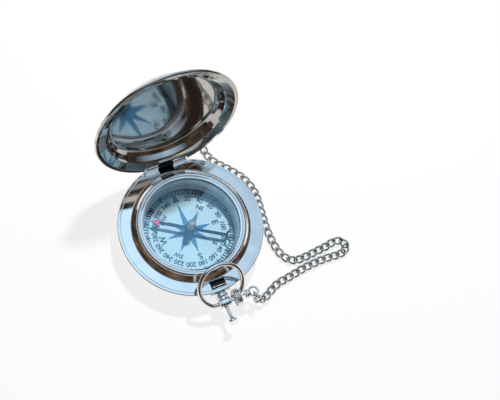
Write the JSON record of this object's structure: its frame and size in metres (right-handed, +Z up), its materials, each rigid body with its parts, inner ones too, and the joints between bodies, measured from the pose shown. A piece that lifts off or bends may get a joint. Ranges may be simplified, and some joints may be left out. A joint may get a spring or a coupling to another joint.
{
  "type": "pocket compass",
  "caption": "Polished nickel pocket compass with a hinged lid standing open, a domed crystal over a star dial and needle, a push-button latch, a bow and a link chain.",
  "frame": {"origin": "the middle of the case's flat back, on the case's axis, where it lies on the table", "axes": "+Z up out of the dial, +Y towards the hinge (the dial's north), -Y towards the pendant and push button, +X to the dial's east, the side where the chain leaves"},
  "size_m": [0.0694, 0.0805, 0.0526],
  "materials": {
    "nickel": "polished nickel plate",
    "chain_nickel": "polished nickel plate, darker in the links' corners",
    "inner_metal": "plain satin",
    "crystal": "clear, polished",
    "dial": "white enamel with dark blue print",
    "needle_blue": "blued, with a red arrowhead",
    "cap_brass": "satin, slightly pink",
    "steel": "plain"
  },
  "bodies": {
    "case": {"case_bowl": "nickel", "bezel_ring": "nickel", "crystal": "crystal", "inner_ring": "inner_metal", "dial_plate": "dial", "pivot_post": "steel", "hinge_lug_left": "nickel", "hinge_lug_right": "nickel", "hinge_pin": "steel", "lift_spring": "steel", "pendant_neck": "nickel", "pendant_barrel": "nickel", "clip_hook": "nickel", "clip_swivel": "nickel", "chain": "chain_nickel", "chain_bar": "chain_nickel"},
    "needle": {"needle_bar": "needle_blue", "needle_cap": "cap_brass"},
    "lid": {"lid_shell": "nickel"},
    "catch": {"latch_catch": "nickel"},
    "plunger": {"push_rod": "nickel", "push_button": "nickel"},
    "bow": {"bow": "nickel"}
  },
  "joints": [
    {"name": "lid_hinge", "type": "hinge", "parent": "case", "child": "lid", "pos_m": [0, 0.0214, 0.00915], "axis": [1, 0, 0], "range_deg": [0, 98.8], "stiffness_Nm_per_rad": 0.008},
    {"name": "bow_swing", "type": "hinge", "parent": "case", "child": "bow", "pos_m": [0, -0.0258, 0.0062], "axis": [1, 0, 0], "range_deg": [0, 134]},
    {"name": "button_press", "type": "slide", "parent": "case", "child": "plunger", "axis": [0, 1, 0], "range_m": [0, 0.001], "stiffness_N_per_m": 250},
    {"name": "catch_slide", "type": "slide", "parent": "case", "child": "catch", "axis": [0, 1, 0], "range_m": [0, 0.001]},
    {"name": "needle_spin", "type": "hinge", "parent": "case", "child": "needle", "pos_m": [0, 0, 0.005], "axis": [0, 0, 1], "continuous": true}
  ],
  "couplings": [
    {"joint": "bow_swing", "follows": "lid_hinge", "ratio": 1.356},
    {"joint": "catch_slide", "follows": "button_press", "ratio": 1}
  ]
}
